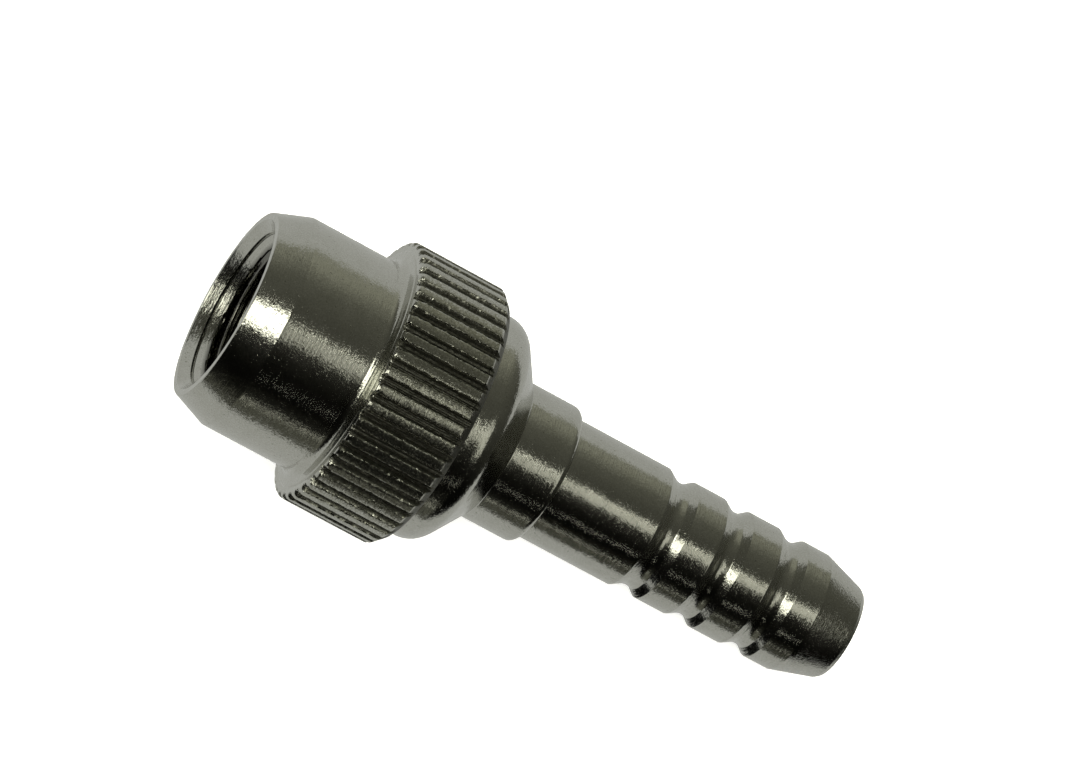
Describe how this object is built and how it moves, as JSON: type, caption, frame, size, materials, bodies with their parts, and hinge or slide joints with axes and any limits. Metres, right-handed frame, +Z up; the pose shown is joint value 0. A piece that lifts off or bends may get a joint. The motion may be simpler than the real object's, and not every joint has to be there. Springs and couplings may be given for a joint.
{
  "type": "carbon dioxide diffuser coupling",
  "caption": "Swivel coupling of a CO2 diffuser: knurled union nut with a female pipe thread, barbed hose tail, porous disc and non-return valve inside.",
  "frame": {"origin": "centre of the union nut's mouth, in the plane of its front rim", "axes": "+X along the coupling's axis from the threaded mouth towards the barbed hose end; +Z up as it sits on a horizontal pipe"},
  "size_m": [0.0565, 0.0226, 0.0226],
  "materials": {
    "nickel_plate": "nickel-plated turned brass, bright with fine turning lines",
    "spring_steel": "drawn stainless wire",
    "rubber": "matt black",
    "ceramic": "fine sintered grain",
    "acetal": "white moulded"
  },
  "bodies": {
    "nut": {"union_nut": "nickel_plate"},
    "tail": {"hose_tail": "nickel_plate", "retaining_wire": "spring_steel", "face_washer": "rubber", "disc_retainer": "nickel_plate", "diffuser_disc": "ceramic", "disc_seal": "rubber", "valve_guide": "acetal", "valve_spring": "spring_steel", "valve_seat": "acetal"},
    "poppet": {"valve_poppet": "acetal", "poppet_seal": "rubber"}
  },
  "joints": [
    {"name": "swivel", "type": "hinge", "parent": "nut", "child": "tail", "pos_m": [0.0234, 0, 0], "axis": [1, 0, 0], "continuous": true},
    {"name": "valve_lift", "type": "slide", "parent": "tail", "child": "poppet", "axis": [-1, 0, 0], "range_m": [0, 0.0012], "stiffness_N_per_m": 80, "springref_m": -0.002, "deforming": ["valve_spring"]}
  ]
}
